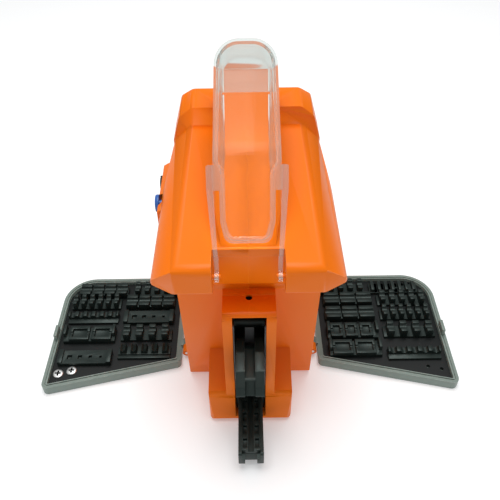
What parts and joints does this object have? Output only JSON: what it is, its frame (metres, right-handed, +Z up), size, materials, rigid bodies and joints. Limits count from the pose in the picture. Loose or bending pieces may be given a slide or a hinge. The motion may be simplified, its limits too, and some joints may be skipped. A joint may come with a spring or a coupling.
{
  "type": "bench terminal crimper",
  "caption": "Portable electric bench crimper with tong jaws, flip-up clear guard, carry handle and fold-down die storage doors.",
  "frame": {"origin": "centre of the footprint of the whole object at table height, doors open", "axes": "+X to the right, +Y to the rear, +Z up; the jaws face -Y"},
  "size_m": [0.352, 0.2287, 0.2927],
  "materials": {
    "orange_plastic": "satin gloss",
    "rubber": "matte",
    "zinc_steel": "zinc plated",
    "frame_steel": "oiled",
    "black_steel": "black oxide",
    "cast_aluminium": "cast",
    "motor_can": "painted",
    "board_green": "board",
    "component_black": "moulded",
    "supply_case": "sheet",
    "black_plastic": "matte",
    "red_plastic": "gloss",
    "blue_plastic": "gloss",
    "clear_guard": "clear plastic",
    "grey_plastic": "fine texture"
  },
  "bodies": {
    "housing": {"left_shell": "orange_plastic", "right_shell": "orange_plastic", "base_plate": "zinc_steel", "rubber_feet": "rubber", "shell_screws": "zinc_steel", "nose_screw": "zinc_steel", "left_frame_plate": "frame_steel", "right_frame_plate": "frame_steel", "frame_tie_bolts": "black_steel", "frame_spacers": "black_steel", "jaw_pivot_pin": "zinc_steel", "pivot_washers": "zinc_steel", "lower_jaw": "black_steel", "lower_die": "black_steel", "shaft_bearings": "zinc_steel", "worm_gearbox": "cast_aluminium", "motor": "motor_can", "control_board": "board_green", "board_components": "component_black", "board_standoffs": "zinc_steel", "power_supply": "supply_case", "rear_panel": "black_plastic", "power_inlet": "black_plastic", "pedal_socket": "black_plastic", "switch_frame": "black_plastic", "control_pod": "orange_plastic", "guard_hinge_pins": "orange_plastic", "door_hinge_pins": "zinc_steel"},
    "upper_jaw": {"upper_jaw_left_plate": "black_steel", "upper_jaw_right_plate": "black_steel", "upper_die": "black_steel", "upper_jaw_rivets": "black_steel", "jaw_sector_gear": "frame_steel"},
    "drive": {"drive_pinion": "frame_steel", "drive_shaft": "zinc_steel"},
    "guard": {"guard": "clear_guard"},
    "left_door": {"left_door": "grey_plastic", "left_die_plate": "black_plastic", "left_dies_row_1": "black_steel", "left_dies_row_2": "black_steel", "left_dies_row_3": "black_steel", "left_dies_row_4": "black_steel", "left_dies_row_5": "black_steel", "left_plate_screws": "zinc_steel"},
    "right_door": {"right_door": "grey_plastic", "right_die_plate": "black_plastic", "right_dies_row_1": "black_steel", "right_dies_row_2": "black_steel", "right_dies_row_3": "black_steel", "right_dies_row_4": "black_steel", "right_dies_row_5": "black_steel"},
    "crimp_button": {"crimp_button": "blue_plastic"},
    "power_rocker": {"power_rocker": "red_plastic"},
    "force_dial": {"force_dial": "black_plastic"}
  },
  "joints": [
    {"name": "jaw_swing", "type": "hinge", "parent": "housing", "child": "upper_jaw", "pos_m": [0, -0.039, 0.032], "axis": [1, 0, 0], "range_deg": [0, 42]},
    {"name": "drive_spin", "type": "hinge", "parent": "housing", "child": "drive", "pos_m": [0, 0.02357, 0.06813], "axis": [1, 0, 0], "range_deg": [-174, 0]},
    {"name": "guard_swing", "type": "hinge", "parent": "housing", "child": "guard", "pos_m": [0, -0.074, 0.173], "axis": [1, 0, 0], "range_deg": [0, 185]},
    {"name": "right_door_swing", "type": "hinge", "parent": "housing", "child": "right_door", "pos_m": [0.0555, 0, 0.007], "axis": [0, -1, 0], "range_deg": [0, 90]},
    {"name": "left_door_swing", "type": "hinge", "parent": "housing", "child": "left_door", "pos_m": [-0.0555, 0, 0.007], "axis": [0, 1, 0], "range_deg": [0, 90]},
    {"name": "crimp_button_press", "type": "slide", "parent": "housing", "child": "crimp_button", "axis": [1, 0, 0], "range_m": [0, 0.002], "stiffness_N_per_m": 300, "springref_m": -0.001},
    {"name": "power_rocker_tilt", "type": "hinge", "parent": "housing", "child": "power_rocker", "pos_m": [0.003, 0.1113, 0.05], "axis": [0, 0, 1], "range_deg": [0, 16]},
    {"name": "force_dial_turn", "type": "hinge", "parent": "housing", "child": "force_dial", "pos_m": [-0.0645, 0.042, 0.156], "axis": [-1, 0, 0], "range_deg": [-140, 140]}
  ],
  "couplings": [
    {"joint": "drive_spin", "follows": "jaw_swing", "ratio": -4.1429}
  ]
}
